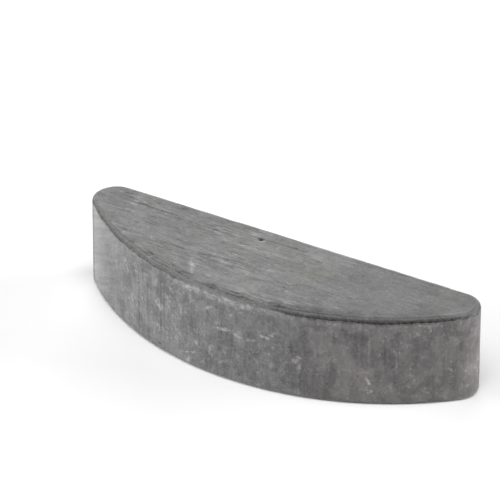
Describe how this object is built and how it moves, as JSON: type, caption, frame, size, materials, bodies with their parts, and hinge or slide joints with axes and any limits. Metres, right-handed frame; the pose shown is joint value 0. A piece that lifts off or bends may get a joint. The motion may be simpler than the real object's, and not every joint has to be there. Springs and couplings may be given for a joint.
{
  "type": "flywheel key",
  "caption": "Half-moon steel key with a curved seat, a flat back and rounded corners, which locks a flywheel or gear to its shaft.",
  "frame": {"origin": "centre of the key's footprint, on the side face that it lies on", "axes": "+X along the flat back, +Y out of the flat back and away from the curved seat, +Z across the key's width, up from the face that it lies on"},
  "size_m": [0.018, 0.0052, 0.004],
  "materials": {
    "ground_steel": "plain grey steel, ground side faces with fine lines along the key, draw marks and scuffs on the curved seat, satin"
  },
  "bodies": {
    "root": {"flywheel_key": "ground_steel"}
  },
  "joints": []
}
